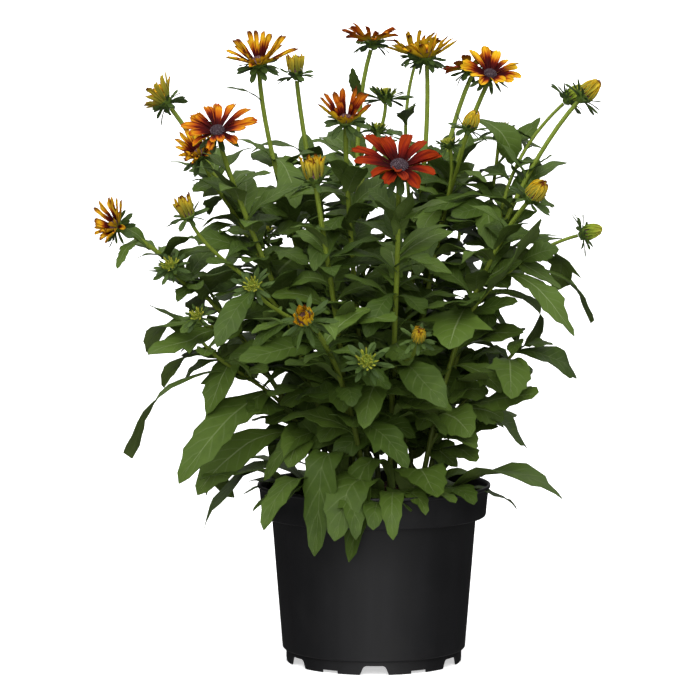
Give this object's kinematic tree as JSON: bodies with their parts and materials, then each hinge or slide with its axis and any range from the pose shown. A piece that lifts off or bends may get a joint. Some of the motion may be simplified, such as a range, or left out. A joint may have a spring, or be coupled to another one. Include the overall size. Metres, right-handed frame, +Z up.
{
  "type": "potted black-eyed susan",
  "caption": "Black-eyed susan in a black nursery pot: leafy branching stems with orange-red flowers, half-open flowers and yellow-green buds",
  "frame": {"origin": "centre of the flat pad in the middle of the pot's base, on the surface that the pot stands on", "axes": "+Z up along the pot's axis, -Y towards the viewer of the picture, +X to that viewer's right"},
  "size_m": [0.4113, 0.3486, 0.516],
  "materials": {
    "pot": "matte black polypropylene with a faint sheen",
    "potting_soil": "loose brown peat with fibres and white specks",
    "stem_and_leaf": "matte, ridged and finely hairy green",
    "leaf": "matte dark green with pale veins",
    "open_flower": "matte petals, maroon at the foot and orange at the tip, round a purple-grey cone",
    "half_open_flower": "matte upright petals, yellow outside and maroon inside",
    "flower_bud": "matte yellow-green bud in dark green bracts"
  },
  "bodies": {
    "root": {"pot": "pot", "potting_soil": "potting_soil", "basal_leaf_01": "leaf", "basal_leaf_02": "leaf", "basal_leaf_03": "leaf", "basal_leaf_04": "leaf", "basal_leaf_05": "leaf", "basal_leaf_06": "leaf", "basal_leaf_07": "leaf", "basal_leaf_08": "leaf", "basal_leaf_09": "leaf", "basal_leaf_10": "leaf", "flower_bud_01": "flower_bud", "flower_bud_02": "flower_bud", "flower_bud_03": "flower_bud", "flower_bud_04": "flower_bud", "flower_bud_05": "flower_bud", "flower_bud_06": "flower_bud", "flower_bud_07": "flower_bud", "flower_bud_08": "flower_bud", "flower_bud_09": "flower_bud", "flower_bud_10": "flower_bud", "flower_bud_11": "flower_bud", "flower_bud_12": "flower_bud", "flower_bud_13": "flower_bud", "flower_bud_14": "flower_bud", "flower_bud_15": "flower_bud", "flower_bud_16": "flower_bud", "flower_bud_17": "flower_bud", "flower_bud_18": "flower_bud", "flower_bud_19": "flower_bud", "flower_bud_20": "flower_bud", "flower_bud_21": "flower_bud", "half_open_flower_01": "half_open_flower", "half_open_flower_02": "half_open_flower", "half_open_flower_03": "half_open_flower", "half_open_flower_04": "half_open_flower", "half_open_flower_05": "half_open_flower", "half_open_flower_06": "half_open_flower", "half_open_flower_07": "half_open_flower", "open_flower_01": "open_flower", "open_flower_02": "open_flower", "open_flower_03": "open_flower", "open_flower_04": "open_flower", "open_flower_05": "open_flower", "stem_01": "stem_and_leaf", "stem_02": "stem_and_leaf", "stem_03": "stem_and_leaf", "stem_04": "stem_and_leaf", "stem_05": "stem_and_leaf", "stem_06": "stem_and_leaf", "stem_07": "stem_and_leaf", "stem_08": "stem_and_leaf", "stem_09": "stem_and_leaf", "stem_10": "stem_and_leaf", "stem_11": "stem_and_leaf", "stem_12": "stem_and_leaf", "stem_13": "stem_and_leaf", "stem_14": "stem_and_leaf", "stem_15": "stem_and_leaf"}
  },
  "joints": []
}
